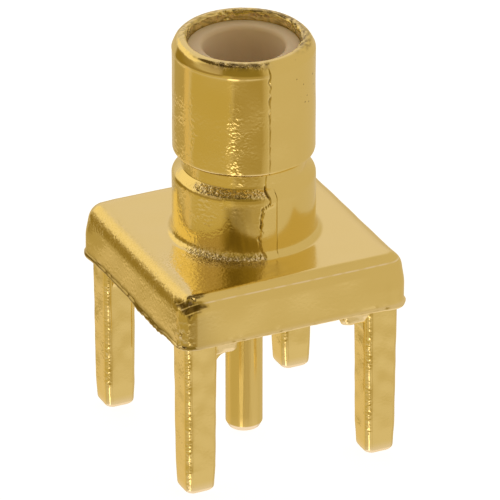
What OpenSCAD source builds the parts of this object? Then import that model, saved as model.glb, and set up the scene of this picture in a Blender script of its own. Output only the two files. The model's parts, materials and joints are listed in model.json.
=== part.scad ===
// Straight printed-circuit SMB jack: a die-cast body with four legs, a PTFE insulator and a turned contact.
// Millimetres. The origin is on the barrel's axis, in the plane of the board that the standoff pads sit on.

/* [Coupling barrel] */
// Outside diameter of the barrel above the snap groove
barrel_d = 3.66; // [3.56:0.01:3.76]
// Outside diameter of the barrel below the snap groove
neck_d = 3.70; // [3.6:0.01:3.9]
// Height of the barrel's rim above the board
rim_z = 7.31; // [6.9:0.01:9]
// Width of the bevel round the rim
rim_bevel_w = 0.15; // [0.05:0.01:0.18]
// Height of the bevel round the rim
rim_bevel_h = 0.26; // [0.1:0.01:0.5]
// Radius of the fillet at the barrel's foot
foot_r = 0.24; // [0.1:0.01:0.5]

/* [Snap groove] */
// Depth of the snap groove below the barrel's surface
groove_depth = 0.23; // [0.12:0.01:0.25]
// Distance from the rim down to the upper side of the groove
groove_drop = 3.14; // [2.9:0.01:3.3]
// Width of the groove's flat bottom
groove_w = 0.42; // [0.2:0.01:0.5]
// Radius of the rounded lip above the groove
lip_r = 0.18; // [0.1:0.01:0.22]
// Radius of the rounded shoulder below the groove
shoulder_r = 0.41; // [0.3:0.01:0.6]

/* [Base] */
// Side of the square base at its lower edge
base_side = 6.4; // [6.2:0.05:7]
// Thickness of the base
base_h = 1.45; // [1.2:0.01:2]
// Radius of the base's upright corners
corner_r = 0.58; // [0.56:0.01:1]
// Radius of the base's rounded top edge
top_edge_r = 0.5; // [0.2:0.01:0.52]
// Radius of the base's lower edge
low_edge_r = 0.1; // [0.05:0.01:0.2]
// Draft angle of the base's sides
draft = 3; // [0:0.1:4]

/* [Legs] */
// Distance between the centres of neighbouring legs
leg_pitch = 5.08; // [4.9:0.01:5.2]
// Width of the square leg at the base
leg_root = 0.88; // [0.8:0.01:1]
// Width of the square leg at its tip
leg_tip = 0.76; // [0.6:0.01:0.8]
// Length of the legs below the board
leg_len = 3.88; // [2.5:0.01:5]
// Radius of the rounded edges of the tip
tip_r = 0.16; // [0.05:0.01:0.25]
// Bevel on the leg's upright edges
leg_bevel = 0.06; // [0.02:0.01:0.12]

/* [Standoff pads] */
// Height of the pads, which hold the base off the board
pad_h = 0.44; // [0.3:0.01:0.8]
// Reach of each pad past its leg, towards the middle
pad_reach = 0.66; // [0.4:0.01:0.7]
// Step from the leg's outer face back to the pad's
pad_step = 0.03; // [0.02:0.005:0.06]
// Radius of the pad's rounded edges
pad_r = 0.18; // [0.05:0.01:0.25]
// Radius of the fillet between a leg and its pad
web_r = 0.3; // [0.1:0.01:0.35]

/* [Insulator] */
// Wall between the bottom of the groove and the bore that holds the insulator
groove_wall = 0.15; // [0.1:0.01:0.25]
// Bevel at the mouth of the body's bore
mouth_bevel = 0.08; // [0.02:0.01:0.12]
// Distance from the rim down to the insulator's face
face_drop = 0.22; // [0.1:0.01:0.5]
// Diameter of the socket that the mating insulator enters
socket_d = 2.1; // [2.0:0.01:2.3]
// Depth of that socket below the insulator's face
socket_depth = 3.6; // [3:0.05:3.8]
// Bevel at the mouth of the socket
socket_bevel = 0.08; // [0.02:0.01:0.15]
// Diameter of the insulator's flange
flange_d = 3.5; // [3.3:0.05:3.8]
// Thickness of the insulator's flange
flange_h = 0.7; // [0.5:0.05:0.9]

/* [Centre contact] */
// Diameter of the solder tail
tail_d = 0.97; // [0.7:0.01:1.1]
// Diameter of the collar that holds the contact in the insulator
collar_d = 1.4; // [1.2:0.01:1.7]
// Distance by which the tail is shorter than the legs
tail_short = 0.02; // [0.01:0.01:0.2]
// Bevel at the end of the tail
tail_bevel = 0.12; // [0.05:0.01:0.2]
// Diameter of the male pin
pin_d = 0.5; // [0.45:0.01:0.55]
// Distance from the rim down to the tip of the male pin
pin_drop = 1.3; // [1:0.05:2]
// Thickness of insulator left between the collar and the socket
floor_h = 0.9; // [0.5:0.05:1]
// Clearance all round the insulator and the contact
fit_gap = 0.01; // [0.005:0.005:0.02]

/* [Hidden] */
$fn = 96;
arc_steps = 6;
barrel_r = barrel_d/2;
neck_r = neck_d/2;
rim_r = barrel_r - rim_bevel_w;
groove_r = barrel_r - groove_depth;
bore_r = groove_r - groove_wall;
flange_r = flange_d/2;
under_z = pad_h;
top_z = under_z + base_h;
groove_z = rim_z - groove_drop;
flange_z = under_z + flange_h;
face_z = rim_z - face_drop;
socket_z = face_z - socket_depth;
seat_z = socket_z - floor_h;
half_pitch = leg_pitch/2;
leg_out = half_pitch + leg_root/2;
leg_in = half_pitch - leg_root/2;
pad_in = leg_in - pad_reach;
pad_out = leg_out - pad_step;
// Length by which joined shapes run into each other
lap = 0.2;

// Points of an arc about c from angle a0 to angle a1.
function arc(c, r, a0, a1) =
    [for (i = [0:arc_steps]) let (a = a0 + (a1 - a0)*i/arc_steps) c + r*[cos(a), sin(a)]];

// Half section of the barrel: foot, neck, shoulder, snap groove, lip, wall and bevelled rim.
module barrel() {
    shoulder_in = neck_r - shoulder_r;
    // Angle at which the shoulder's arc runs into the bottom of the groove
    shoulder_a = acos((groove_r - shoulder_in)/shoulder_r);
    shoulder_z = groove_z - groove_w - shoulder_r*sin(shoulder_a);
    rotate_extrude()
        polygon(concat(
            [[0, top_z - base_h/2], [neck_r + foot_r, top_z - base_h/2]],
            arc([neck_r + foot_r, top_z + foot_r], foot_r, -90, -180),
            arc([shoulder_in, shoulder_z], shoulder_r, 0, shoulder_a),
            [[groove_r, groove_z]],
            arc([barrel_r - lip_r, groove_z + lip_r], lip_r, -90, 0),
            [[barrel_r, rim_z - rim_bevel_h], [rim_r, rim_z], [0, rim_z]]));
}

// Section of the base's edge, measured outwards from the axis of an upright corner.
module edge_section(inner) {
    lean = (base_h - low_edge_r - top_edge_r)*tan(draft);
    polygon(concat(
        [[-inner, under_z]],
        arc([corner_r - low_edge_r, under_z + low_edge_r], low_edge_r, -90, 0),
        arc([corner_r - lean - top_edge_r, top_z - top_edge_r], top_edge_r, 0, 90),
        [[-inner, top_z]]));
}

// The edge section turned through the four corners and run straight between them.
module base() {
    side = base_side - 2*corner_r;
    for (turn = [0:90:270])
        rotate(turn) {
            translate([side/2, side/2, 0])
                rotate_extrude(angle = 90)
                    edge_section(0);
            translate([side/2, side/2, 0])
                rotate([90, 0, 0])
                    linear_extrude(side)
                        edge_section(side/2);
        }
}

// Tapered outline of a leg from inside the base down to its rounded tip.
module leg_outline(trim) {
    slope = (leg_root - leg_tip)/2/(under_z + leg_len);
    top = leg_root/2 + slope*lap - trim;
    tip = leg_tip/2 - trim;
    polygon(concat(
        [[top, under_z + lap]],
        [[-top, under_z + lap]],
        arc([-tip + tip_r, -leg_len + tip_r], tip_r, 180, 270),
        arc([tip - tip_r, -leg_len + tip_r], tip_r, 270, 360)));
}

// A leg is the overlap of its two outlines, with its upright edges bevelled by a wider pair set at 45 degrees.
module leg() {
    across = leg_root/2*(sqrt(2) - 1) - leg_bevel/sqrt(2);
    intersection_for (turn = [0:45:135])
        rotate([90, 0, turn])
            translate([0, 0, -leg_root])
                linear_extrude(2*leg_root)
                    leg_outline(turn % 90 == 0 ? 0 : -across);
}

// Side outline of a pad, with its free lower edge rounded.
module pad_outline() {
    polygon(concat(
        [[pad_out, under_z + lap], [pad_in, under_z + lap]],
        arc([pad_in + pad_r, pad_r], pad_r, 180, 270),
        [[pad_out, 0]]));
}

// Side outline of the fillet under a pad, against its leg's inner face.
module web_outline() {
    polygon(concat(
        [[half_pitch, lap/2], [leg_in - web_r, lap/2]],
        arc([leg_in - web_r, -web_r], web_r, 90, 0),
        [[half_pitch, -web_r]]));
}

// A standoff pad round the root of its leg, in the quarter where x and y are positive.
module pad() {
    intersection() {
        rotate([90, 0, 0])
            translate([0, 0, -pad_out])
                linear_extrude(pad_out)
                    pad_outline();
        rotate([90, 0, 90])
            linear_extrude(pad_out)
                pad_outline();
        linear_extrude(under_z + lap)
            polygon(concat(
                arc([pad_in + pad_r, pad_in + pad_r], pad_r, 180, 270),
                arc([pad_out - pad_r, pad_in + pad_r], pad_r, 270, 360),
                [[pad_out, pad_out]],
                arc([pad_in + pad_r, pad_out - pad_r], pad_r, 90, 180)));
    }
    web_w = leg_tip - 2*leg_bevel;
    for (flip = [0, 1])
        mirror([flip, -flip, 0])
            translate([0, half_pitch + web_w/2, 0])
                rotate([90, 0, 0])
                    linear_extrude(web_w)
                        web_outline();
}

// The room inside the body: the insulator's bore and the counterbore for its flange.
module insulator_room() {
    rotate_extrude()
        polygon([
            [0, under_z - lap],
            [flange_r, under_z - lap],
            [flange_r, flange_z],
            [bore_r, flange_z],
            [bore_r, rim_z - mouth_bevel],
            [bore_r + mouth_bevel, rim_z],
            [bore_r + mouth_bevel, rim_z + lap],
            [0, rim_z + lap]]);
}

// One zinc die casting, plated with gold: barrel, base, legs and standoff pads.
module body() {
    color("#d2b15f")
        difference() {
            union() {
                barrel();
                base();
                for (turn = [0:90:270])
                    rotate(turn) {
                        translate([half_pitch, half_pitch, 0])
                            leg();
                        pad();
                    }
            }
            insulator_room();
        }
}

// PTFE bush pushed up into the body from below, with the socket in its upper end.
module insulator() {
    collar_hole_r = collar_d/2 + fit_gap;
    pin_hole_r = pin_d/2 + fit_gap;
    color("#d9cdbb")
        rotate_extrude()
            polygon([
                [collar_hole_r, under_z],
                [flange_r - fit_gap, under_z],
                [flange_r - fit_gap, flange_z],
                [bore_r - fit_gap, flange_z],
                [bore_r - fit_gap, face_z],
                [socket_d/2 + socket_bevel, face_z],
                [socket_d/2, face_z - socket_bevel],
                [socket_d/2, socket_z],
                [pin_hole_r, socket_z],
                [pin_hole_r, seat_z],
                [collar_hole_r, seat_z]]);
}

// Turned brass contact: solder tail below, collar seated up against the insulator, male pin above.
module centre_contact() {
    tail_r = tail_d/2;
    collar_r = collar_d/2;
    pin_r = pin_d/2;
    tail_z = tail_short - leg_len;
    pin_z = rim_z - pin_drop;
    color("#c9a24d")
        rotate_extrude()
            polygon(concat(
                [[0, tail_z], [tail_r - tail_bevel, tail_z], [tail_r, tail_z + tail_bevel]],
                [[tail_r, under_z], [collar_r, under_z], [collar_r, seat_z], [pin_r, seat_z]],
                arc([0, pin_z - pin_r], pin_r, 0, 90)));
}

body();
insulator();
centre_contact();
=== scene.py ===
import json
import bmesh
import bpy
import numpy as np
from mathutils import Matrix, Vector


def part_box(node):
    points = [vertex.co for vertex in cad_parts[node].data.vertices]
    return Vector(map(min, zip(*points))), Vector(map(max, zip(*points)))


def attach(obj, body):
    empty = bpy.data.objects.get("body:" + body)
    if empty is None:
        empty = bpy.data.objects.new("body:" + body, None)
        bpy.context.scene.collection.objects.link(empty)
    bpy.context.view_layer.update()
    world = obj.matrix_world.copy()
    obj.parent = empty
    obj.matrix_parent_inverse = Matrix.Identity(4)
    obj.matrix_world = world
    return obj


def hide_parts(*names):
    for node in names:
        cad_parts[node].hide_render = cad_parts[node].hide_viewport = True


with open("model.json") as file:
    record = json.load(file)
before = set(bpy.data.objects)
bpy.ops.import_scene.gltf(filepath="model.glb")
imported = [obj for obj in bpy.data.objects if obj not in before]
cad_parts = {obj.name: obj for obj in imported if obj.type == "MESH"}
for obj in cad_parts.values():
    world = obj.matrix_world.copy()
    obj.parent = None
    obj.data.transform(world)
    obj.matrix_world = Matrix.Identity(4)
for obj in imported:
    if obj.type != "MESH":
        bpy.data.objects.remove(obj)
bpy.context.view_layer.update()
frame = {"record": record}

# The body is one zinc die casting, with barrel, base, legs and pads in one piece, plated with bright gold.
# The die has left its marks under the plating: a ragged parting seam up the front of the barrel, flash
# along the base's lower edge, and a torn patch at the front corner. Sizes are in millimetres.
MM = 0.001
dims = {mount["name"]: mount["dims"] for mount in frame["record"]["mounts"]}
body_low, body_high = (np.array(corner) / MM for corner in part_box("body"))
bush_low, bush_high = (np.array(corner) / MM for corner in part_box("insulator"))

barrel_r = dims["coupling_barrel"]["r_mm"]
rim_z = body_high[2]
rim_bevel_w = 0.14
rim_bevel_h = 0.27
crest_r = barrel_r - rim_bevel_w
rim_round = 0.23
bevel_round = 0.12
mouth_round = 0.09
mouth_depth = 0.3
bore_r = 1.45
bore_draft = 0.005
bore_bend_r = 0.02
groove_r = 1.60
groove_z = rim_z - 3.14
groove_w = 0.42
groove_slope = 0.02
lip_r = 0.12
lip_bevel_w = 0.024
lip_bevel_h = 0.11
lip_bevel_r = 0.05
neck_r = 1.85
shoulder_drop = 0.19
shoulder_r = 0.16
foot_r = 0.22
base_half = body_high[0]
corner_r = 0.50
lean = 0.0445
top_z = 1.89
top_edge_r = 0.5
top_flat = base_half - lean - top_edge_r
crease_drop = 0.15
crease_r = 0.5
under_z = bush_low[2]
under_edge_r = 0.03
flash_w = 0.045
flash_h = 0.10
flash_r = 0.02
flange_r = 1.75
flange_z = 1.14
soft_edge = 0.045


def rounded(corners, wrap):
    """Profile through corners given as (out, height, radius, step). Each corner is replaced by an arc of its
    radius that is tangent to both neighbouring edges, with a point about every ten degrees, and the straight
    run after it is cut into such steps."""
    arc_step = 10
    spots = np.array([corner[:2] for corner in corners])
    radii = [corner[2] for corner in corners]
    steps = [corner[3] for corner in corners]
    arcs = []
    for i, (spot, radius) in enumerate(zip(spots, radii)):
        if radius == 0:
            arcs.append(spot[None])
            continue
        before = spots[i - 1] - spot
        after = spots[(i + 1) % len(corners)] - spot
        before /= np.linalg.norm(before)
        after /= np.linalg.norm(after)
        half_turn = np.arccos(np.clip(-before @ after, -1, 1)) / 2
        centre = spot + (before + after) / np.linalg.norm(before + after) * radius / np.cos(half_turn)
        count = max(3, int(np.degrees(2 * half_turn) / arc_step) + 2)
        sweep = np.linspace(-half_turn, half_turn, count)[:, None]
        middle = (spot - centre) / np.linalg.norm(spot - centre)
        across = (after - before) / np.linalg.norm(after - before)
        arcs.append(centre + radius * (np.cos(sweep) * middle + np.sin(sweep) * across))
    points = []
    for i, arc in enumerate(arcs):
        points.append(arc)
        if wrap or i < len(arcs) - 1:
            run = arcs[(i + 1) % len(arcs)][0] - arc[-1]
            count = max(1, int(round(np.linalg.norm(run) / steps[i])))
            points.append(arc[-1] + np.arange(1, count)[:, None] / count * run)
    return np.concatenate(points)


def square_ring(side_counts, corner_counts):
    """One turn round a ring, from the -Y side towards +X. Returns three arrays of plane vectors: a circle is
    radius * turn, and a square with rounded corners is flat * straight + corner radius * bend, where flat is
    half the straight side. Points crowd towards the middle of each side by half a cube. On the circle a side
    takes 36 degrees to each side of its middle, and a corner the rest of the quarter."""
    half_side = 36
    corner_turn = 90 - 2 * half_side
    turn, straight, bend = [], [], []
    for quarter, (side_count, corner_count) in enumerate(zip(side_counts, corner_counts)):
        even = np.linspace(-1, 1, side_count, endpoint=False)
        along = 0.5 * even + 0.5 * even ** 3
        sweep = np.arange(corner_count) / corner_count
        ones = np.ones(side_count)
        angle = np.radians(np.concatenate([along * half_side, half_side + corner_turn * sweep]) - 90)
        bow = np.radians(90 * sweep - 90)
        spin = np.linalg.matrix_power(np.array([[0, 1], [-1, 0]]), quarter)
        turn.append(np.stack([np.cos(angle), np.sin(angle)], -1) @ spin)
        flat_part = np.stack([along, -ones], -1)
        corner_part = np.tile([1.0, -1.0], (corner_count, 1))
        straight.append(np.concatenate([flat_part, corner_part]) @ spin)
        side_bend = np.stack([0 * ones, -ones], -1)
        corner_bend = np.stack([np.cos(bow), np.sin(bow)], -1)
        bend.append(np.concatenate([side_bend, corner_bend]) @ spin)
    return np.concatenate(turn), np.concatenate(straight), np.concatenate(bend)


# Barrel and base: one profile, from the rim down the outside, along the underside and up the bore.
# It is turned round the axis, and spreads from a circle to the base's rounded square across the base's top.
# Sides and corners are counted front, right, back, left, with most points where the marks are finest.
side_points = (122, 26, 26, 80)
corner_points = (12, 6, 8, 26)
profile = rounded([
    (bore_r, rim_z, mouth_round, 0.04),
    (crest_r, rim_z, rim_round, 0.04),
    (barrel_r, rim_z - rim_bevel_h, bevel_round, 0.05),
    (barrel_r, groove_z + lip_bevel_h, lip_bevel_r, 0.05),
    (barrel_r - lip_bevel_w, groove_z, lip_r, 0.05),
    (groove_r, groove_z, soft_edge, 0.05),
    (groove_r, groove_z - groove_w + groove_slope, soft_edge, 0.03),
    (neck_r, groove_z - groove_w - shoulder_drop, shoulder_r, 0.035),
    (neck_r, top_z, foot_r, 0.08),
    (top_flat, top_z, crease_r, 0.03),
    (base_half - lean, top_z - crease_drop, top_edge_r, 0.08),
    (base_half - flash_w, under_z + flash_h, flash_r, 0.03),
    (base_half, under_z + flash_h - flash_w, flash_r, 0.03),
    (base_half, under_z, under_edge_r, 0.5),
    (flange_r, under_z, soft_edge, 0.3),
    (flange_r, flange_z, soft_edge, 0.3),
    (bore_r, flange_z, soft_edge, 1.2),
    (bore_r - bore_draft, rim_z - mouth_depth, bore_bend_r, 0.04),
], True)
turn, straight, bend = square_ring(side_points, corner_points)


def ease(value, start, end):
    """Smooth step: 0 at start, 1 at end, level at both."""
    share = np.clip((value - start) / (end - start), 0, 1)
    return share * share * (3 - 2 * share)


def raised(plan, outline):
    """Grid of points: the plan of each profile row, at that row's height."""
    height = outline[:, 1, None, None]
    return np.concatenate([plan, np.broadcast_to(height, plan.shape[:2] + (1,))], -1)


def spread(outline):
    """Grid of a profile turned round the axis: a circle inside the neck's foot, the rounded square outside
    the base's top, and a smooth mix of both between. The square's corners keep a small radius."""
    least_corner_r = 0.03
    out = outline[:, 0, None, None]
    squareness = ease(out, neck_r + foot_r, top_flat)
    flat = np.minimum(base_half - corner_r, out - least_corner_r)
    plan = (1 - squareness) * out * turn + squareness * (flat * straight + (out - flat) * bend)
    return raised(plan, outline)


def passed(line):
    """Share of a line's whole length that lies before each of its points."""
    steps = np.linalg.norm(np.diff(line, axis=0), axis=1)
    return np.concatenate([[0], np.cumsum(steps)]) / steps.sum()


# On the left the base's upper edge is a wide roll with a crease, at the front it is tight, and the other two
# sides lie between. So a second profile has the tight edge, and each side takes its share of it.
tight_w = 0.34
tight_drop = 0.045
tight_r = 0.36
tight_crease_r = 0.05
tight_step = 0.01
wall_z = 1.2
edge_rows = np.flatnonzero((profile[:, 0] > neck_r + foot_r) & (profile[:, 1] > wall_z))
tight_edge = rounded([
    (*profile[edge_rows[0]], 0, tight_step),
    (base_half - tight_w, top_z, tight_crease_r, tight_step),
    (base_half - lean, top_z - tight_drop, tight_r, tight_step),
    (*profile[edge_rows[-1]], 0, tight_step),
], False)
tight = profile.copy()
edge_share = passed(profile[edge_rows])
for axis in (0, 1):
    tight[edge_rows, axis] = np.interp(edge_share, passed(tight_edge), tight_edge[:, axis])
rolled = spread(profile)
azimuth = np.degrees(np.arctan2(rolled[..., 0], -rolled[..., 1]))
side_azimuths = [-180, -140, -130, -50, -40, 40, 50, 130, 140, 180]
side_tightness = [0.6, 0.6, 0.0, 0.0, 1.0, 1.0, 0.2, 0.2, 0.6, 0.6]
tightness = np.interp(azimuth, side_azimuths, side_tightness)
shell = rolled + tightness[..., None] * (spread(tight) - rolled)


def bump(value, middle, width):
    """Bell curve: 1 at the middle, falling off over the width."""
    return np.exp(-((value - middle) / width) ** 2)


def lumps(points, size, seed):
    """Random lumps of about one size: sixteen plane waves of that length in random directions, added up and
    divided by the root of half their number, so that their mean square is 1."""
    count = 16
    draw = np.random.default_rng(seed)
    ways = draw.normal(size=(count, 3))
    ways /= np.linalg.norm(ways, axis=1, keepdims=True)
    phase = draw.uniform(0, 2 * np.pi, count)
    return np.sin(points @ ways.T * (2 * np.pi / size) + phase).sum(-1) / np.sqrt(count / 2)


# Marks of the die, as heights along the surface's normal. A point's level is its height and its reach is its
# place on the profile, both in millimetres. Its azimuth is in degrees from the front, -Y, towards +X.
level = shell[..., 2]
reach = np.broadcast_to(profile[:, :1], level.shape)
outside = ease(reach, groove_r - 0.1, groove_r - 0.02)
upright = outside * ease(level, top_z, top_z + 0.1) * ease(level, rim_z - 0.1, rim_z - mouth_depth)
skin_lump = 1.1
skin_height = 0.0025
relief = skin_height * lumps(shell, skin_lump, 1)

# Parting seam: the right half of the die stands proud by a step, which slopes off towards a fine scribed
# line. A ragged crack runs along the foot of the step.
seam_levels = [top_z, 2.35, 2.75, 3.30, 3.42, 3.70, groove_z, rim_z]
seam_azimuths = [-8.0, -12.5, -10.8, -9.8, -3.2, -5.4, -3.6, -3.6]
seam = np.interp(level, seam_levels, seam_azimuths)
scribe_azimuth = 2.1
scribe_width = 0.4
scribe_depth = 0.007
slope = np.clip((scribe_azimuth - azimuth) / (scribe_azimuth - seam), 0, 1)
step_height = np.interp(level, [3.3, 3.6, groove_z, rim_z], [0.05, 0.045, 0.006, 0.006])
relief += upright * step_height * (slope * ease(azimuth - seam, -0.6, 0.2))
heights_only = level[..., None] * np.array([0, 0, 1.0])
wander = np.interp(level, [3.8, groove_z], [1.0, 0.6])
ragged = 0.4 * lumps(heights_only, 0.23, 2) + 0.25 * lumps(heights_only, 0.11, 3)
past = azimuth - (seam + wander * ragged)
crack_levels = [2.3, 2.7, 3.8, groove_z, 5.5, 5.9, rim_z]
crack_depths = [0.010, 0.022, 0.022, 0.005, 0.006, 0.015, 0.015]
crack_azimuth = -0.4
crack_width = np.interp(level, [3.8, groove_z], [0.65, 0.6])
crack = np.interp(level, crack_levels, crack_depths)
raggedness = np.clip(0.8 + 0.5 * lumps(heights_only, 0.4, 4), 0.1, 1.4)
in_crack = raggedness * bump(past, crack_azimuth, crack_width)
relief -= upright * crack * in_crack
relief -= upright * scribe_depth * bump(azimuth, scribe_azimuth, scribe_width) * ease(level, 3.9, 3.6)

# Rough skin, where the metal dragged on the die: the shoulder and the foot left of the seam, the mouth at
# the right and the back, and faintly the crest of the rim.
shoulder_grain = 0.002
foot_grain = 0.004
mouth_grain = 0.010
crest_grain = 0.001
seam_left = ease(past, 0.3, -0.6)
front_left = ease(azimuth, -76, -66)
shoulder_rough = outside * bump(level, groove_z - groove_w - 0.08, 0.08) * ease(level, 3.83, 3.76)
shoulder_rough = shoulder_rough * (seam_left * front_left)
relief += shoulder_rough * shoulder_grain * lumps(shell * [1, 1, 0.6], 0.08, 5)
foot_rough = outside * bump(level, top_z + 0.09, 0.13) * ease(reach, 2.3, 2.1) * seam_left
foot_rough = foot_rough * (0.12 + 0.88 * front_left) * ease(azimuth, -120, -105)
relief += foot_rough * foot_grain * lumps(shell * [1, 1, 0.35], 0.09, 6)
mouth_edge = 1.56
mouth_front = -40
in_mouth = ease(level, rim_z - mouth_depth, rim_z - 0.22)
mouth_rough = ease(reach, mouth_edge, 1.5) * in_mouth * ease(abs(azimuth - mouth_front), 55, 85)
mouth_lumps = lumps(shell, 0.085, 9)
relief += mouth_rough * mouth_grain * mouth_lumps
on_crest = ease(level, rim_z - 0.2, rim_z - 0.1)
relief += bump(reach, crest_r, 0.06) * on_crest * crest_grain * lumps(shell, 0.16, 14)

# Edges: a burr below the rim's bevel left of the seam, flared corners, a wavy flash along the base's lower
# edge, and a scuff at the foot of the front corner.
burr_z = rim_z - 0.315
burr_width = 0.025
burr_height = 0.010
burr = outside * bump(level, burr_z, burr_width) * ease(azimuth, -2, -8)
relief += burr * burr_height
back_flare = 0.075
right_flare = 0.06
flare_width = 9
corner_flare = back_flare * bump(azimuth, -135, flare_width) + right_flare * bump(azimuth, 45, flare_width)
relief += corner_flare * ease(level, 1.5, 1.0) * ease(reach, base_half - 0.3, base_half - 0.1)
flash_wave = 0.006
flash = ease(reach, base_half - 0.12, base_half - 0.02) * bump(level, under_z + 0.05, 0.045)
relief += flash * flash_wave * lumps(shell, 0.22, 7)
scuff_at = [-3.15, -2.95, 0.75]
scuff_size = [0.2, 0.3, 0.32]
scuff_height = 0.014
scuff = np.exp(-np.linalg.norm((shell - scuff_at) / scuff_size, axis=-1) ** 2)
relief += scuff * scuff_height * lumps(shell, 0.12, 10)


def grid_normals(points):
    """Outward unit normals of a grid that closes both ways: the cross product of its central differences."""
    down = np.roll(points, -1, 0) - np.roll(points, 1, 0)
    around = np.roll(points, -1, 1) - np.roll(points, 1, 1)
    normal = np.cross(down, around)
    return normal / np.maximum(np.linalg.norm(normal, axis=-1, keepdims=True), 1e-12)


shell = shell + relief[..., None] * grid_normals(shell)

# Torn front corner: a patch that widens upwards, pushed back against torn_way, the way that it faces.
torn_way = np.array([-0.470, -0.671, 0.574])
tear_rightward = [0.819, -0.574, 0]
tear_upward = [0.329, 0.470, 0.819]
tear_low = -0.36
tear_high = 0.12
tear_half_w = 0.54
tear_middle = -0.03
tear_soft = 0.07
tear_ragged = 0.015
tear_depth = 0.045
tear_grain = 0.010
foremost = np.where(level < top_z + 0.02, shell @ torn_way, 0).argmax()
tear = shell - shell.reshape(-1, 3)[foremost]
tear_up = tear @ tear_upward
half_tear = tear_half_w * (tear_up - tear_low) / (tear_high - tear_low)
to_side = half_tear - abs(tear @ tear_rightward - tear_middle)
inside_tear = np.minimum(tear_high - tear_up, to_side) + tear_ragged * lumps(shell, 0.16, 8)
torn = ease(inside_tear, 0, tear_soft) * ease(tear @ torn_way, -0.5, -0.4)
torn_depth = torn * (tear_depth + tear_grain * lumps(shell * [0.4, 1, 1.2], 0.13, 17))
shell = shell - torn_depth[..., None] * torn_way

# The rim stands a little higher at the back, and flash hangs from the left side's lower edge.
rim_lift = 0.04
shell[..., 2] += rim_lift * (ease(level, rim_z - 0.35, rim_z - 0.05) * ease(shell[..., 1], -0.4, 1.0))
hang_drop = 0.08
hang_wave = 0.012
hang = ease(level, under_z + 0.2, under_z + 0.02) * ease(reach, base_half - 0.25, base_half - 0.05)
hang = hang * ease(shell[..., 0], -2.9, -3.1)
hang = hang * ease(shell[..., 1], -2.2, -1.7) * ease(shell[..., 1], 0.1, -0.5)
shell[..., 2] -= hang * (hang_drop + hang_wave * lumps(shell, 0.2, 13))


def surface(name, points, wrap):
    """Object from a grid of points in millimetres. Columns join into rings. Rows join end to end if wrap is
    set, and otherwise a flat face closes the first and the last ring."""
    rows, columns = points.shape[:2]
    index = np.arange(rows * columns).reshape(rows, columns)
    upper = index if wrap else index[:-1]
    lower = np.roll(index, -1, 0) if wrap else index[1:]
    quads = np.stack([upper, lower, np.roll(lower, -1, 1), np.roll(upper, -1, 1)], -1)
    faces = quads.reshape(-1, 4).tolist()
    if not wrap:
        faces += [index[0].tolist(), index[-1, ::-1].tolist()]
    mesh = bpy.data.meshes.new(name)
    mesh.from_pydata((points.reshape(-1, 3) * MM).tolist(), [], faces)
    piece = bpy.data.objects.new(name, mesh)
    bpy.context.scene.collection.objects.link(piece)
    return piece


body = surface("body_casting", shell, True)


def mark(piece, name, amount):
    """Stores a share from 0 to 1 at each point of a piece, for its material to read."""
    layer = piece.data.attributes.new(name, "FLOAT", "POINT")
    layer.data.foreach_set("value", np.clip(amount, 0, 1).ravel().astype(np.float32))


def blotches(points, size, seed, middle, swing):
    """Share from 0 to 1 that varies as lumps do: a middle value, plus the lumps times a swing."""
    return np.clip(middle + swing * lumps(points, size, seed), 0, 1)


# Stains and painted shade: real brown stains on the rim and in its mouth; painted shade in the seam's crack
# and along the left side's lower edge; painted dark reflections on the neck, on the rim's crest and on the
# base's top in front of the neck; and the front corner darkened.
neck_share = np.interp(azimuth, [-43, -36, -31, -21, -14], [0.0, 1.0, 1.0, 0.35, 0.0])
neck_dark_reflection = upright * ease(level, 1.95, 2.2) * ease(level, 3.45, 3.3) * neck_share
neck_dark_reflection = neck_dark_reflection * blotches(shell * [1, 1, 0.25], 0.16, 16, 0.9, 0.2)
# Painted shade in the seam's crack.
shaded_depth = 0.018
crack_shade = upright * np.clip(crack / shaded_depth, 0, 1) * in_crack
# Painted dark reflection along the front of the rim's crest.
crest_front = bump(reach, crest_r - 0.02, 0.09) * on_crest * ease(abs(azimuth + 28), 32, 16)
crest_dark_reflection = crest_front * blotches(shell, 0.21, 19, 0.6, 0.5)
rim_stain = ease(level, rim_z - 0.12, rim_z - 0.04) * ease(reach, 1.48, 1.54)
rim_stain = rim_stain * ease(abs(azimuth - 90), 62, 35) * blotches(shell, 0.13, 20, 0.6, 0.6)
rim_reach = mouth_edge + 0.12 * ease(abs(azimuth - 80), 35, 60)
mouth_rim = ease(reach, rim_reach + 0.06, rim_reach) * in_mouth * ease(abs(azimuth - mouth_front), 60, 90)
mouth_stain = mouth_rim * ease(mouth_lumps, 0.3, -0.6)
# Painted dark reflection of the neck on the base's top.
top_dark_reflection = bump(shell[..., 0], -0.45, 0.5) * ease(reach, 2.1, 2.25) * ease(reach, 2.9, 2.65)
top_dark_reflection = top_dark_reflection * ease(shell[..., 1], -1.9, -2.1) * blotches(shell * [0.3, 1, 0], 0.13, 18, 0.7, 0.4)
# Darker at the front corner.
corner_darkening = bump(azimuth, -44, 7) * ease(reach, base_half - 0.25, base_half - 0.1) * ease(level, 1.5, 1.3)
left_side = ease(abs(azimuth + 92), 44, 38)
# Painted shade along the left side's lower edge.
left_lip_shade = left_side * ease(reach, base_half - 0.12, base_half - 0.05) * bump(level, under_z + 0.06, 0.075)
mark(body, "stain_and_shade", 0.46 * neck_dark_reflection + 0.18 * top_dark_reflection + 0.25 * corner_darkening + 0.45 * crack_shade
     + 0.45 * mouth_stain + 0.8 * crest_dark_reflection + 0.55 * left_lip_shade + 0.5 * rim_stain)

# Painted highlights: the burr, the barrel's lower lip left of the seam, and the flash are painted pale, as
# bright lines of highlight.
lip_highlight = outside * bump(level, groove_z + 0.085, 0.03) * ease(reach, barrel_r - 0.1, barrel_r - 0.03)
lip_highlight = lip_highlight * ease(azimuth, 2, -10)
mark(body, "painted_highlight", 0.6 * burr + 0.3 * lip_highlight + 0.5 * flash * (1 - left_side))

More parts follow.
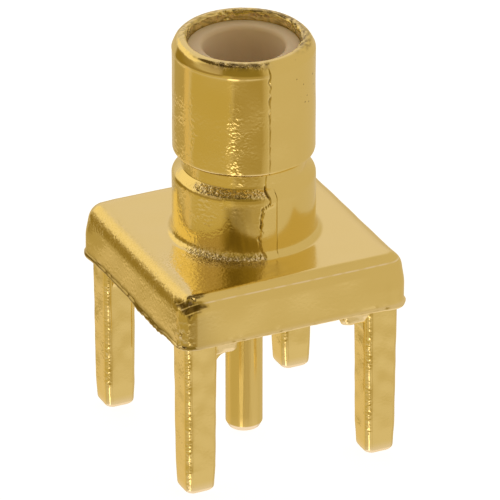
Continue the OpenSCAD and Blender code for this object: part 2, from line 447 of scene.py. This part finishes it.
# Rough, torn and satin: the grainy places, the broken corner, and the left roll, which is a little matt.
roll = ease(abs(azimuth + 90), 45, 40) * ease(reach, base_half - 0.5, base_half - 0.42)
roll = roll * ease(level, 1.25, 1.45)
apron = ease(level, top_z - 0.03, top_z - 0.01) * ease(reach, 2.05, 2.15) * ease(reach, 2.95, 2.6)
apron = apron * ease(azimuth, -86, -66) * ease(azimuth, 4, -4)
mark(body, "rough", shoulder_rough + foot_rough + 0.25 * mouth_rough + 0.5 * scuff + 0.13 * roll
     + 0.27 * apron + 0.6 * crest_front)
mark(body, "torn", torn)
mark(body, "satin", roll)


def square_rod(outline, edge_r, ring):
    """Grid of an upright rod: at each profile point a rounded square of that half width. Its corner radius
    is the edge radius, or half the half width where that is less."""
    half_width = outline[:, 0, None, None]
    edge = np.minimum(edge_r, half_width * 0.5)
    return raised((half_width - edge) * ring[1] + edge * ring[2], outline)


# Legs: square rods that taper to a soft tip. They are cast with the base, and run up into it here. Their
# tips and the middles of their rounded edges are painted pale, as painted highlights.
root_overlap = 0.3
end_r = 0.06
leg_root = 0.455
leg_root_r = 4.0
leg_tip = 0.415
leg_edge_r = 0.18
swell_z = 0.7
swell_w = 0.012
swell_r = 2.0
tip_in = 0.02
tip_r = 0.16
tip_z = body_low[2]
leg_wave = 0.002
half_pitch = dims["solder_legs"]["spacing_x_mm"] / 2
leg_profile = rounded([
    (leg_root, under_z + root_overlap, 0, 0.2),
    (leg_root, under_z, leg_root_r, 0.12),
    (leg_tip + swell_w, tip_z + swell_z, swell_r, 0.1),
    (leg_tip - tip_in, tip_z, tip_r, 0.09),
    (end_r, tip_z, 0, 0.09),
], False)
leg_ring = square_ring([8] * 4, [7] * 4)
leg_shape = square_rod(leg_profile, leg_edge_r, leg_ring)
edge_sharpness = 8
leg_edges = (2 * abs(leg_ring[2][:, 0] * leg_ring[2][:, 1])) ** edge_sharpness

# Pads: low lumps round the roots of the legs, which hold the base off the board.
pad_in = 1.44
pad_out = 2.95
pad_r = 0.17
pad_foot_r = 0.12
pad_root_w = 0.03
pad_foot_w = 0.06
pad_wave = 0.022
pad_half = (pad_out - pad_in) / 2
pad_mid = (pad_out + pad_in) / 2
pad_profile = rounded([
    (pad_half + pad_root_w, under_z + root_overlap, 0, 0.08),
    (pad_half - pad_foot_w, 0, pad_foot_r, 0.08),
    (end_r, 0, 0, 0.08),
], False)
pad_shape = square_rod(pad_profile, pad_r, square_ring([10] * 4, [5] * 4))

# Webs: the hollow fillets between a pad's underside and its leg, each a quarter circle out of a square.
web_r = 0.3
web_half = 0.25
web_top = 0.1
leg_in = half_pitch - leg_root
hollow = np.radians(np.linspace(90, 0, 9))
web_outline = np.concatenate([
    [[leg_in + root_overlap, web_top], [leg_in - web_r, web_top]],
    np.stack([leg_in - web_r + web_r * np.cos(hollow), web_r * np.sin(hollow) - web_r], -1),
    [[leg_in + root_overlap, -web_r]],
])
web_ends = np.array([half_pitch - web_half, half_pitch + web_half])

# The legs, pads and webs are joined to the base, and slivers of the join are welded shut.
weld_mm = 0.0005
tools = []
for side_x in (-1, 1):
    for side_y in (-1, 1):
        corner_name = f"{side_x}{side_y}"
        leg = leg_shape + [side_x * half_pitch, side_y * half_pitch, 0]
        leg[..., :2] += leg_wave * lumps(leg, 0.5, 11)[..., None] * np.sign(leg_shape[..., :2])
        tools.append(surface("leg" + corner_name, leg, False))
        mark(tools[-1], "painted_highlight", 0.7 * ease(leg[..., 2], tip_z + 0.35, tip_z + 0.1) + 0.3 * leg_edges)
        pad = pad_shape + [side_x * pad_mid, side_y * pad_mid, 0]
        pad += pad_wave * lumps(pad, 0.26, 12)[..., None] * [side_x, side_y, 0.3]
        tools.append(surface("pad" + corner_name, pad, False))
        # The pads are painted pale all over, as painted highlight.
        mark(tools[-1], "painted_highlight", np.full(pad.shape[:2], 0.45))
        mark(tools[-1], "rough", np.full(pad.shape[:2], 0.08))
        for along_y in (False, True):
            web = np.empty((2, len(web_outline), 3))
            web[..., 0] = web_outline[:, 0]
            web[..., 1] = web_ends[:, None]
            web[..., 2] = web_outline[:, 1]
            if along_y:
                web = web[..., [1, 0, 2]]
            web = web * [side_x, side_y, 1]
            if (side_x * side_y > 0) == along_y:
                web = web[:, ::-1]
            tools.append(surface("web" + corner_name, web, False))
for tool in tools:
    join = body.modifiers.new("join", "BOOLEAN")
    join.operation = "UNION"
    join.solver = "MANIFOLD"
    join.object = tool
bpy.context.view_layer.update()
whole = bpy.data.meshes.new_from_object(body.evaluated_get(bpy.context.evaluated_depsgraph_get()))
body.modifiers.clear()
weld = bmesh.new()
weld.from_mesh(whole)
bmesh.ops.dissolve_degenerate(weld, edges=weld.edges, dist=weld_mm * MM)
bmesh.ops.remove_doubles(weld, verts=weld.verts, dist=weld_mm * MM)
weld.to_mesh(whole)
weld.free()
body.data = whole
for tool in tools:
    bpy.data.objects.remove(tool)


def shade(piece, crease):
    """Smooth shading, with a hard edge wherever two faces meet at more than the crease angle in degrees."""
    piece.data.shade_smooth()
    piece.data.set_sharp_from_angle(angle=np.radians(crease))


crease_angle = 40
shade(body, crease_angle)


def linear(hex_colour, strength=1.0):
    """Linear colour of an sRGB hex value, by the standard's curve, times a strength."""
    share = np.array([int(hex_colour[i:i + 2], 16) for i in (1, 3, 5)]) / 255
    curve = np.where(share <= 0.04045, share / 12.92, ((share + 0.055) / 1.055) ** 2.4)
    return (*(curve * strength), 1.0)


def add(tree, kind, settings=None, **inputs):
    """Adds a node, sets its properties, and fills each named or numbered input with a value, or with a link
    from a socket or from a node's first output. Inputs 6 and 7 of a colour mix are its two colours."""
    node = tree.nodes.new(kind)
    for key, value in (settings or {}).items():
        setattr(node, key, value)
    for key, value in inputs.items():
        socket = node.inputs[int(key[1:])] if key[1:].isdigit() else node.inputs[key.replace("_", " ")]
        if isinstance(value, bpy.types.Node):
            value = value.outputs[0]
        if isinstance(value, bpy.types.NodeSocket):
            tree.links.new(value, socket)
        else:
            socket.default_value = value
    return node


def new_material(name):
    """Empty node material, with its output and a Principled shader linked to it."""
    material = bpy.data.materials.new(name)
    material.use_nodes = True
    tree = material.node_tree
    tree.nodes.clear()
    shader = add(tree, "ShaderNodeBsdfPrincipled")
    add(tree, "ShaderNodeOutputMaterial", Surface=shader)
    return material, tree, shader


# Gold plate on a die casting: a bright mirror over skin that is a little dimpled, like orange peel, so broad
# reflections stay clear and narrow ones break up into flecks.
gold, tree, shader = new_material("gold_plate_on_zinc_casting")
gold_hex = "#F1E19E"
pale_gold_hex = "#FFF6DE"
stain_and_shade_hex = "#5A4520"
place = add(tree, "ShaderNodeTexCoord").outputs["Object"]
at_x, at_y, at_z = add(tree, "ShaderNodeSeparateXYZ", Vector=place).outputs
normal = add(tree, "ShaderNodeNewGeometry").outputs["Normal"]
facing_x = add(tree, "ShaderNodeSeparateXYZ", Vector=normal).outputs["X"]
gritty = add(tree, "ShaderNodeAttribute", {"attribute_name": "rough"}).outputs["Fac"]
# How deep the dimples are on the base: most at the foot of the front corner, least on the front.
peel_mm = 0.09
peel_depth_mm = 0.026
peel = add(tree, "ShaderNodeTexNoise", Vector=place, Scale=1 / (peel_mm * MM), Detail=1.0, Roughness=0.5)
on_left_wall = add(tree, "ShaderNodeMapRange", Value=at_z, From_Min=0.2 * MM, From_Max=0.5 * MM,
                   To_Min=0.15, To_Max=0.10)
on_corner = add(tree, "ShaderNodeMapRange", Value=at_z, From_Min=0.2 * MM, From_Max=0.5 * MM,
                To_Min=0.7, To_Max=0.2)
on_left = add(tree, "ShaderNodeMapRange", Value=facing_x, From_Min=-0.97, From_Max=-0.85,
              To_Min=on_left_wall, To_Max=on_corner)
on_base = add(tree, "ShaderNodeMapRange", Value=facing_x, From_Min=-0.45, From_Max=-0.25,
              To_Min=on_left, To_Max=0.06)
# On the neck they are deepest at the left, and on the barrel in a strip of flecks and at the far left.
on_neck = add(tree, "ShaderNodeMapRange", Value=facing_x, From_Min=-0.80, From_Max=-0.50,
              To_Min=0.60, To_Max=0.08)
strip_facing_x = -0.53
from_strip = add(tree, "ShaderNodeMath", {"operation": "SUBTRACT"}, _0=facing_x, _1=strip_facing_x)
strip_gap = add(tree, "ShaderNodeMath", {"operation": "ABSOLUTE"}, _0=from_strip)
in_strip = add(tree, "ShaderNodeMapRange", Value=strip_gap, From_Min=0.05, From_Max=0.19,
               To_Min=0.42, To_Max=0.12)
far_left = add(tree, "ShaderNodeMapRange", Value=facing_x, From_Min=-0.96, From_Max=-0.88,
               To_Min=0.7, To_Max=0.0)
on_barrel = add(tree, "ShaderNodeMath", {"operation": "MAXIMUM"}, _0=in_strip, _1=far_left)
below_groove = add(tree, "ShaderNodeMapRange", Value=at_z, From_Min=1.2 * MM, From_Max=1.4 * MM,
                   To_Min=on_base, To_Max=on_neck)
by_height = add(tree, "ShaderNodeMapRange", Value=at_z, From_Min=3.45 * MM, From_Max=3.6 * MM,
                To_Min=below_groove, To_Max=on_barrel)
# They come in patches, fade out towards the rim, and are deep wherever the skin is rough.
patch_mm = 0.28
patches = add(tree, "ShaderNodeTexNoise", Vector=place, Scale=1 / (patch_mm * MM), Detail=0.0)
in_patch = add(tree, "ShaderNodeMapRange", Value=patches.outputs["Fac"], From_Min=0.40, From_Max=0.60,
               To_Min=0.2, To_Max=1.0)
under_rim = add(tree, "ShaderNodeMapRange", Value=at_z, From_Min=5.6 * MM, From_Max=6.5 * MM,
                To_Min=1.0, To_Max=0.15)
fading = add(tree, "ShaderNodeMath", {"operation": "MULTIPLY"}, _0=under_rim, _1=in_patch)
skin_depth = add(tree, "ShaderNodeMath", {"operation": "MULTIPLY"}, _0=by_height, _1=fading)
depth = add(tree, "ShaderNodeMath", {"operation": "MULTIPLY_ADD"}, _0=gritty, _1=0.9, _2=skin_depth)
dimples = add(tree, "ShaderNodeBump", Strength=depth, Distance=peel_depth_mm * MM,
              Height=peel.outputs["Fac"])
# Where the skin is rough, as on the shoulder, the foot and the mouth, a fine grain covers the mirror.
grain_mm = 0.045
grain_depth_mm = 0.018
stretched = add(tree, "ShaderNodeMapping", Vector=place, Scale=(1.0, 1.0, 0.45))
grain = add(tree, "ShaderNodeTexNoise", Vector=stretched, Scale=1 / (grain_mm * MM), Detail=2.0)
skin_normal = add(tree, "ShaderNodeBump", Strength=gritty, Distance=grain_depth_mm * MM,
                  Height=grain.outputs["Fac"], Normal=dimples)
crests = add(tree, "ShaderNodeMapRange", Value=grain.outputs["Fac"], From_Min=0.45, From_Max=0.57)
pale_grit = add(tree, "ShaderNodeMath", {"operation": "MULTIPLY"}, _0=gritty, _1=crests)
soot = add(tree, "ShaderNodeMapRange", Value=grain.outputs["Fac"], From_Min=0.40, From_Max=0.48,
           To_Min=0.44, To_Max=0.0)
dark_grit = add(tree, "ShaderNodeMath", {"operation": "MULTIPLY"}, _0=gritty, _1=soot)
# Torn corner: a painted dark reflection over the break, in brown, with a few painted bright streaks of
# highlight across it.
glint_gap_mm = 0.2
waves_per_unit = 20 / (2 * np.pi)
along_streak = Vector((0.85, -0.40, 0.35)).normalized()
across_streak = Vector(torn_way).cross(along_streak).normalized()
lie = Matrix((along_streak, across_streak, along_streak.cross(across_streak))).transposed().to_euler()
break_share = add(tree, "ShaderNodeAttribute", {"attribute_name": "torn"}).outputs["Fac"]
laid = add(tree, "ShaderNodeMapping", {"vector_type": "TEXTURE"}, Vector=place, Rotation=lie,
           Scale=(4.0, 1.0, 1.0))
glint_bands = add(tree, "ShaderNodeTexWave", {"wave_type": "BANDS", "bands_direction": "Y"}, Vector=laid,
                Scale=1 / (waves_per_unit * glint_gap_mm * MM), Distortion=3.0, Detail=2.0,
                Detail_Scale=2.0)
in_glint = add(tree, "ShaderNodeMapRange", Value=glint_bands.outputs["Fac"], From_Min=0.93, From_Max=0.98)
glint_highlight = add(tree, "ShaderNodeMath", {"operation": "MULTIPLY"}, _0=break_share, _1=in_glint)
off_glint = add(tree, "ShaderNodeMapRange", Value=glint_bands.outputs["Fac"], From_Min=0.86, From_Max=0.96,
                  To_Min=0.86, To_Max=0.1)
break_dark_reflection = add(tree, "ShaderNodeMath", {"operation": "MULTIPLY"}, _0=break_share, _1=off_glint)
# Painted highlight: a thin bright line along the front's upper edge.
line_z = 1.715
from_line = add(tree, "ShaderNodeMath", {"operation": "SUBTRACT"}, _0=at_z, _1=line_z * MM)
line_gap = add(tree, "ShaderNodeMath", {"operation": "ABSOLUTE"}, _0=from_line)
in_line = add(tree, "ShaderNodeMapRange", Value=line_gap, From_Min=0.008 * MM, From_Max=0.024 * MM,
              To_Min=1.0, To_Max=0.0)
line_breaks = add(tree, "ShaderNodeMapRange", Value=patches.outputs["Fac"], From_Min=0.36, From_Max=0.50,
                  To_Min=0.4, To_Max=1.0)
faint_highlight = add(tree, "ShaderNodeMath", {"operation": "MULTIPLY"}, _0=in_line, _1=line_breaks)
front_edge_highlight = add(tree, "ShaderNodeMapRange", Value=at_y, From_Min=-2.95 * MM, From_Max=-2.85 * MM,
                 To_Min=faint_highlight, To_Max=0.0)
# Pits: specks where the plating missed, on the right of the rim.
pit_mm = 0.03
pit_gap_mm = 0.22
cells = add(tree, "ShaderNodeTexVoronoi", Vector=place, Scale=1 / (pit_gap_mm * MM))
in_pit = add(tree, "ShaderNodeMapRange", Value=cells.outputs["Distance"], From_Min=0.5 * pit_mm / pit_gap_mm,
             From_Max=pit_mm / pit_gap_mm, To_Min=1.0, To_Max=0.0)
on_right = add(tree, "ShaderNodeMapRange", Value=at_x, From_Min=0.5 * MM, From_Max=0.9 * MM)
high_up = add(tree, "ShaderNodeMapRange", Value=at_z, From_Min=5.2 * MM, From_Max=6.2 * MM)
pitted = add(tree, "ShaderNodeMath", {"operation": "MULTIPLY"}, _0=on_right, _1=high_up)
pits = add(tree, "ShaderNodeMath", {"operation": "MULTIPLY"}, _0=pitted, _1=in_pit)
# Colour: painted highlights and grain crests are pale, and pits, stains, soot, painted shade and painted
# dark reflections, the break's among them, are brown.
painted_highlight_share = add(tree, "ShaderNodeAttribute", {"attribute_name": "painted_highlight"}).outputs["Fac"]
lit = add(tree, "ShaderNodeMath", {"operation": "MAXIMUM"}, _0=painted_highlight_share, _1=pale_grit)
painted_highlight_lines = add(tree, "ShaderNodeMath", {"operation": "MAXIMUM"}, _0=glint_highlight, _1=front_edge_highlight)
pale = add(tree, "ShaderNodeMath", {"operation": "MAXIMUM"}, _0=lit, _1=painted_highlight_lines)
bright = add(tree, "ShaderNodeMix", {"data_type": "RGBA"}, Factor=pale, _6=linear(gold_hex),
             _7=linear(pale_gold_hex))
stains_and_shade = add(tree, "ShaderNodeAttribute", {"attribute_name": "stain_and_shade"}).outputs["Fac"]
pits_stains_and_shade = add(tree, "ShaderNodeMath", {"operation": "MAXIMUM"}, _0=pits, _1=stains_and_shade)
grit_and_break_dark = add(tree, "ShaderNodeMath", {"operation": "MAXIMUM"}, _0=dark_grit, _1=break_dark_reflection)
brown = add(tree, "ShaderNodeMath", {"operation": "MAXIMUM"}, _0=pits_stains_and_shade, _1=grit_and_break_dark)
skin = add(tree, "ShaderNodeMix", {"data_type": "RGBA"}, Factor=brown, _6=bright.outputs[2],
           _7=linear(stain_and_shade_hex))
# Polish: it varies a little in broad waves, and is lower on the base's top, the neck and the satin roll.
wave_mm = 0.5
wave = add(tree, "ShaderNodeTexNoise", Vector=place, Scale=1 / (wave_mm * MM), Detail=1.0)
polish = add(tree, "ShaderNodeMapRange", Value=wave.outputs["Fac"], From_Min=0.3, From_Max=0.7,
             To_Min=0.08, To_Max=0.14)
above_base = add(tree, "ShaderNodeMapRange", Value=at_z, From_Min=3.5 * MM, From_Max=3.7 * MM,
                 To_Min=0.15, To_Max=polish)
mirror = add(tree, "ShaderNodeMapRange", Value=at_z, From_Min=1.5 * MM, From_Max=1.8 * MM,
             To_Min=polish, To_Max=above_base)
satin = add(tree, "ShaderNodeAttribute", {"attribute_name": "satin"}).outputs["Fac"]
matt = add(tree, "ShaderNodeMath", {"operation": "MULTIPLY_ADD"}, _0=satin, _1=0.12, _2=mirror)
shader.inputs["Metallic"].default_value = 1.0
tree.links.new(skin.outputs[2], shader.inputs["Base Color"])
tree.links.new(matt.outputs[0], shader.inputs["Roughness"])
tree.links.new(skin_normal.outputs["Normal"], shader.inputs["Normal"])
body.data.materials.clear()
body.data.materials.append(gold)
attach(body, "root")
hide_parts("body")

# The insulator is a turned PTFE bush, pushed up into the body from below until its flange seats.
# Its upper end is a socket for the mating plug's insulator.
bush_r = 1.44
bush_z = bush_high[2]
bush_flange_r = 1.74
socket_r = 1.05
socket_z = bush_z - 3.6
socket_edge_r = 0.12
socket_foot_r = 0.1
pin_hole_r = 0.26
collar_hole_r = 0.71
collar_z = socket_z - 0.9
bush_edge_r = 0.03
bush_seat_r = 0.02
bush_flange_edge_r = 0.04
bush_profile = rounded([
    (socket_r, bush_z, socket_edge_r, 0.1),
    (bush_r, bush_z, bush_edge_r, 0.6),
    (bush_r, flange_z, bush_seat_r, 0.15),
    (bush_flange_r, flange_z, bush_flange_edge_r, 0.3),
    (bush_flange_r, under_z, bush_flange_edge_r, 0.3),
    (collar_hole_r, under_z, bush_edge_r, 0.3),
    (collar_hole_r, collar_z, bush_edge_r, 0.3),
    (pin_hole_r, collar_z, bush_edge_r, 0.3),
    (pin_hole_r, socket_z, bush_edge_r, 0.2),
    (socket_r, socket_z, socket_foot_r, 0.3),
], True)


def turned(name, outline, count, wrap):
    """Surface of revolution: each profile point goes round the Z axis at its own radius, in count steps."""
    angle = np.linspace(0, 2 * np.pi, count, endpoint=False)
    plan = outline[:, 0, None, None] * np.stack([np.cos(angle), np.sin(angle)], -1)
    return surface(name, raised(plan, outline), wrap)


bush = turned("insulator_bush", bush_profile, 128, True)
shade(bush, crease_angle)
# PTFE: waxy, off-white and slightly translucent, with a satin surface from the tool.
ptfe, tree, shader = new_material("turned_ptfe")
cloud_mm = 0.6
place = add(tree, "ShaderNodeTexCoord").outputs["Object"]
cloud = add(tree, "ShaderNodeTexNoise", Vector=place, Scale=1 / (cloud_mm * MM), Detail=3.0)
waxy = add(tree, "ShaderNodeMix", {"data_type": "RGBA"}, Factor=cloud.outputs["Fac"], _6=linear("#EFE0D4"),
           _7=linear("#F5E9DF"))
tree.links.new(waxy.outputs[2], shader.inputs["Base Color"])
shader.inputs["Roughness"].default_value = 0.45
shader.inputs["IOR"].default_value = 1.36
shader.inputs["Subsurface Weight"].default_value = 0.3
shader.inputs["Subsurface Radius"].default_value = (0.6, 0.4, 0.3)
shader.inputs["Subsurface Scale"].default_value = MM
bush.data.materials.append(ptfe)
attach(bush, "root")
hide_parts("insulator")

# The centre contact is turned from brass rod and plated with gold: a round solder tail, a collar that seats
# in the insulator, and a thin male pin that stands in the socket.
pin_r = dims["signal_pin"]["r_mm"]
pin_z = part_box("centre_contact")[1][2] / MM
pin_nose_r = 0.22
collar_r = 0.70
turned_edge_r = 0.02
axis_r = 0.02
tail_r = dims["solder_tail"]["r_mm"]
tail_z = tip_z + 0.005
tail_bevel_w = 0.08
tail_bevel_h = 0.15
tail_bevel_r = 0.03
contact_profile = rounded([
    (axis_r, pin_z, 0, 0.1),
    (pin_r, pin_z, pin_nose_r, 0.3),
    (pin_r, collar_z, turned_edge_r, 0.2),
    (collar_r, collar_z, turned_edge_r, 0.3),
    (collar_r, under_z, turned_edge_r, 0.2),
    (tail_r, under_z, turned_edge_r, 0.3),
    (tail_r, tail_z + tail_bevel_h, tail_bevel_r, 0.05),
    (tail_r - tail_bevel_w, tail_z, tail_bevel_r, 0.1),
    (axis_r, tail_z, 0, 0.1),
], False)
contact = turned("centre_contact_pin", contact_profile, 96, False)
shade(contact, crease_angle)
# Gold plate on turned brass: the same gold, a shade deeper, with fine lines along the drawn rod and a pale
# cut end.
plated, tree, shader = new_material("gold_plate_on_turned_brass")
line_mm = 0.04
line_depth_mm = 0.004
place = add(tree, "ShaderNodeTexCoord").outputs["Object"]
drawn = add(tree, "ShaderNodeMapping", Vector=place, Scale=(1.0, 1.0, 0.03))
draw_lines = add(tree, "ShaderNodeTexNoise", Vector=drawn, Scale=1 / (line_mm * MM), Detail=1.0)
lined = add(tree, "ShaderNodeBump", Strength=1.0, Distance=line_depth_mm * MM,
            Height=draw_lines.outputs["Fac"])
contact_height = add(tree, "ShaderNodeSeparateXYZ", Vector=place).outputs["Z"]
cut_end = add(tree, "ShaderNodeMapRange", Value=contact_height, From_Min=(tail_z + 0.13) * MM,
              From_Max=(tail_z + 0.17) * MM, To_Min=1.0, To_Max=0.0)
rod_gold = add(tree, "ShaderNodeMix", {"data_type": "RGBA"}, Factor=cut_end, _6=linear("#F1E09C"),
               _7=linear(pale_gold_hex))
tree.links.new(rod_gold.outputs[2], shader.inputs["Base Color"])
tree.links.new(lined.outputs["Normal"], shader.inputs["Normal"])
shader.inputs["Metallic"].default_value = 1.0
shader.inputs["Roughness"].default_value = 0.22
contact.data.materials.append(plated)
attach(contact, "root")
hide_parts("centre_contact")

# Floor: a plain white sheet under the legs. It is lit from within a little, so it stays white round a faint
# contact shadow, and the metal reflects the studio in its place.
floor_r = 120.0
floor_count = 64
floor_angle = np.linspace(0, 2 * np.pi, floor_count, endpoint=False)
floor_plan = np.stack([np.cos(floor_angle) * floor_r, np.sin(floor_angle) * floor_r], -1)
floor_points = np.column_stack([floor_plan, np.full(floor_count, tip_z)])
floor_mesh = bpy.data.meshes.new("floor")
floor_mesh.from_pydata((floor_points * MM).tolist(), [], [list(range(floor_count))])
floor = bpy.data.objects.new("floor", floor_mesh)
bpy.context.scene.collection.objects.link(floor)
paper, tree, shader = new_material("white_paper")
shader.inputs["Base Color"].default_value = linear("#A4ABB6")
shader.inputs["Roughness"].default_value = 0.9
shader.inputs["Emission Color"].default_value = linear("#FFFFFF")
shader.inputs["Emission Strength"].default_value = 0.91
floor_mesh.materials.append(paper)
floor.visible_glossy = False

# Studio: a white tent all round, with darker cards where the tent opens towards the camera and brighter
# panels beside it. Each card is a soft-edged field of the sky, by azimuth from -Y towards +X and elevation,
# in degrees. The camera itself sees plain white.
world = bpy.data.worlds.new("studio")
bpy.context.scene.world = world
world.use_nodes = True
tree = world.node_tree
tree.nodes.clear()
heading = add(tree, "ShaderNodeTexCoord").outputs["Generated"]
rise = add(tree, "ShaderNodeSeparateXYZ", Vector=heading).outputs["Z"]
elevation = add(tree, "ShaderNodeMath", {"operation": "ARCSINE"}, _0=rise)
cards = (
    # label, azimuth, elevation, half width, half height, soft edge, colour, strength
    ("floor", 0, -90, 180, 44, 6, "#F7E4D0", 1.0),
    ("floor, right", 25, -38, 45, 9, 2, "#E2CFB3", 1.0),
    ("bright floor", -42, -41.5, 9, 10.5, 2.5, "#FFE7C3", 2.1),
    ("back wall", 172, 33, 32, 26, 12, "#E9D8CA", 1.0),
    ("left wall", -81, -8, 37, 22, 4, "#C7AC66", 1.0),
    ("left, high", -82, 35, 22, 14, 6, "#BAA27D", 1.0),
    ("back light", -143, 30, 33, 13, 6, "#FFE7B7", 1.05),
    ("back light, low", -152, 17, 10, 6, 3, "#FFE7B7", 1.0),
    ("left gloom", -104, 3, 46, 14, 4, "#A2884E", 1.0),
    ("back gap", -140, -7, 18, 14, 3, "#977C36", 1.0),
    ("low back", -150, -24, 24, 4, 1, "#BBA269", 1.0),
    ("floor, back", -150, -37, 24, 9, 1, "#E8CD9D", 1.0),
    ("side strip", -128.5, -25, 6, 10, 3.5, "#E1C185", 1.0),
    ("open front, edge", 9, 7, 6, 40, 6, "#C6AF80", 1.0),
    ("open front", -18, 7, 25, 36, 4, "#AE9456", 1.0),
    ("open front, high", -29, 45, 33, 32, 6, "#8F7838", 1.0),
)
round_cards = (
    # label, azimuth, elevation, radius, soft edge, colour, strength
    ("open roof", -115, 77, 28, 3, "#5C4A2A", 1.0),
    ("roof lamp", 0, 90, 6, 2, "#FFE7C3", 1.3),
    ("roof lamp, middle", -136, 83, 5, 2, "#FFE7C3", 1.3),
    ("roof lamp, end", -136, 76, 4, 2, "#FFE7C3", 1.3),
)
sky = linear("#D4BF99")
for label, bearing, tilt, half_width, half_height, soft, colour, strength in cards:
    spun = add(tree, "ShaderNodeMapping", {"vector_type": "VECTOR"}, Vector=heading,
               Rotation=(0, 0, np.radians(-bearing)))
    parts = add(tree, "ShaderNodeSeparateXYZ", Vector=spun).outputs
    ahead = add(tree, "ShaderNodeMath", {"operation": "MULTIPLY"}, _0=parts["Y"], _1=-1.0)
    aside = add(tree, "ShaderNodeMath", {"operation": "ARCTAN2"}, _0=parts["X"], _1=ahead)
    fields = []
    for angle, centre, half in ((aside, 0.0, half_width), (elevation, np.radians(tilt), half_height)):
        off = add(tree, "ShaderNodeMath", {"operation": "SUBTRACT"}, _0=angle, _1=centre)
        gap = add(tree, "ShaderNodeMath", {"operation": "ABSOLUTE"}, _0=off)
        field = add(tree, "ShaderNodeMapRange", {"interpolation_type": "SMOOTHSTEP"}, Value=gap,
                    From_Min=np.radians(half - soft), From_Max=np.radians(half + soft),
                    To_Min=1.0, To_Max=0.0)
        fields.append(field)
    mask = add(tree, "ShaderNodeMath", {"operation": "MULTIPLY"}, _0=fields[0], _1=fields[1])
    sky = add(tree, "ShaderNodeMix", {"data_type": "RGBA", "label": label}, Factor=mask, _6=sky,
              _7=linear(colour, strength)).outputs[2]
for label, bearing, tilt, radius, soft, colour, strength in round_cards:
    turned_by, raised_by = np.radians(bearing), np.radians(tilt)
    towards = (np.sin(turned_by) * np.cos(raised_by), -np.cos(turned_by) * np.cos(raised_by),
               np.sin(raised_by))
    match = add(tree, "ShaderNodeVectorMath", {"operation": "DOT_PRODUCT"}, _0=heading, _1=towards)
    mask = add(tree, "ShaderNodeMapRange", {"interpolation_type": "SMOOTHSTEP"},
               Value=match.outputs["Value"], From_Min=np.cos(np.radians(radius + soft)),
               From_Max=np.cos(np.radians(radius - soft)))
    sky = add(tree, "ShaderNodeMix", {"data_type": "RGBA", "label": label}, Factor=mask, _6=sky,
              _7=linear(colour, strength)).outputs[2]
seen = add(tree, "ShaderNodeLightPath").outputs["Is Camera Ray"]
shown = add(tree, "ShaderNodeMix", {"data_type": "RGBA"}, Factor=seen, _6=sky, _7=linear("#FFFFFF"))
light = add(tree, "ShaderNodeBackground", Color=shown.outputs[2], Strength=1.0)
add(tree, "ShaderNodeOutputWorld", Surface=light)

# Camera: a long lens at the photograph's angle, with the object a little left of the middle.
camera_azimuth = np.radians(24.904)
camera_rise = np.radians(27.368)
camera_range = 169.53
picture_side = 500
pixels_per_mm = 38.856
look_at = np.array([0, 0, 1.0656])
look_right = 0.156
look_up = 0.1325
backward = np.array([-np.sin(camera_azimuth) * np.cos(camera_rise),
                     -np.cos(camera_azimuth) * np.cos(camera_rise), np.sin(camera_rise)])
rightward = np.array([np.cos(camera_azimuth), -np.sin(camera_azimuth), 0])
upward = np.cross(backward, rightward)
target = look_at + rightward * look_right + upward * look_up
lens = bpy.data.cameras.new("camera")
lens.sensor_width = 36
lens.lens = lens.sensor_width * pixels_per_mm * camera_range / picture_side
lens.clip_start = 0.01
camera = bpy.data.objects.new("camera", lens)
stance = Matrix([rightward, upward, backward]).transposed().to_4x4()
stance.translation = Vector((target + backward * camera_range) * MM)
camera.matrix_world = stance
bpy.context.scene.collection.objects.link(camera)
bpy.context.scene.camera = camera
bpy.context.scene.view_settings.view_transform = "Standard"
